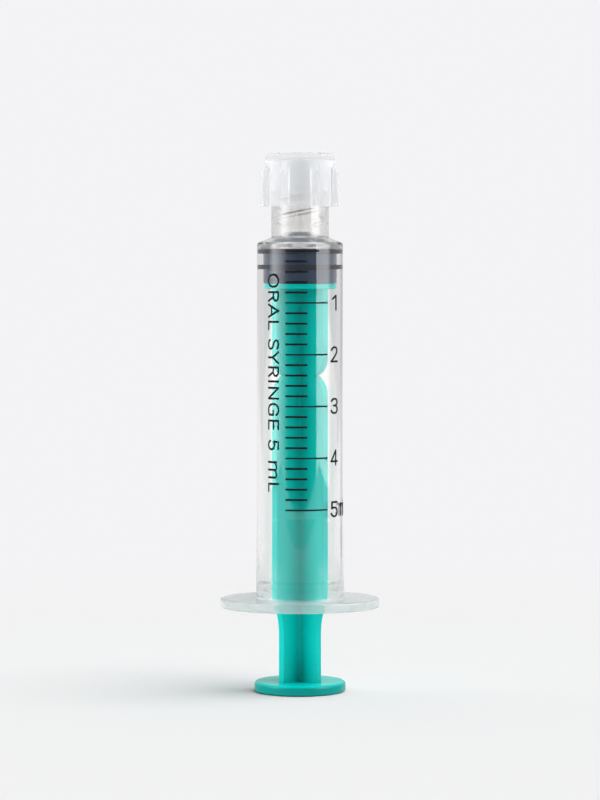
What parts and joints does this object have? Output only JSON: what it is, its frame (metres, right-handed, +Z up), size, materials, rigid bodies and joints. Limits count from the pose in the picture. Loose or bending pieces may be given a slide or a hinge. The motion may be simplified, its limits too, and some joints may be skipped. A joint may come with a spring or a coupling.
{
  "type": "oral syringe",
  "caption": "Clear oral syringe standing on its thumb rest: ribbed screw cap, lock collar, printed dose scale, oval finger flange, cross-bladed plunger and rubber stopper.",
  "frame": {"origin": "centre of the thumb rest's flat outer face, on the syringe's axis", "axes": "+Z up along the syringe's axis towards the nozzle, +X along the finger flange's long side, and the printed scale faces -Y"},
  "size_m": [0.0261, 0.0204, 0.0883],
  "materials": {
    "clear_barrel": "clear polypropylene, glossy, faintly warm",
    "clear_cap": "translucent polypropylene, satin",
    "soft_seal": "translucent soft elastomer",
    "teal_rod": "opaque teal polyethylene, semi-gloss",
    "slate_rubber": "dark slate rubber, satin with a silicone film",
    "black_ink": "black printing ink"
  },
  "bodies": {
    "rod": {"plunger_rod": "teal_rod"},
    "stopper": {"plunger_stopper": "slate_rubber"},
    "barrel": {"barrel": "clear_barrel", "graduation_marks": "black_ink", "dose_numerals": "black_ink", "side_legend": "black_ink"},
    "seal": {"cap_seal": "soft_seal"},
    "cap": {"tip_cap": "clear_cap"}
  },
  "joints": [
    {"name": "plunger_turn", "type": "hinge", "parent": "rod", "child": "stopper", "pos_m": [0, 0, 0.07], "axis": [0, 0, 1], "continuous": true},
    {"name": "plunger_stroke", "type": "slide", "parent": "stopper", "child": "barrel", "axis": [0, 0, 1], "range_m": [0, 0.048]},
    {"name": "cap_lift", "type": "slide", "parent": "barrel", "child": "seal", "axis": [0, 0, 1], "range_m": [0, 0.00625]},
    {"name": "cap_turn", "type": "hinge", "parent": "seal", "child": "cap", "pos_m": [0, 0, 0.0821], "axis": [0, 0, 1], "range_deg": [0, 450]}
  ],
  "couplings": [
    {"joint": "cap_turn", "follows": "cap_lift", "rad_per_m": 1256.6}
  ]
}
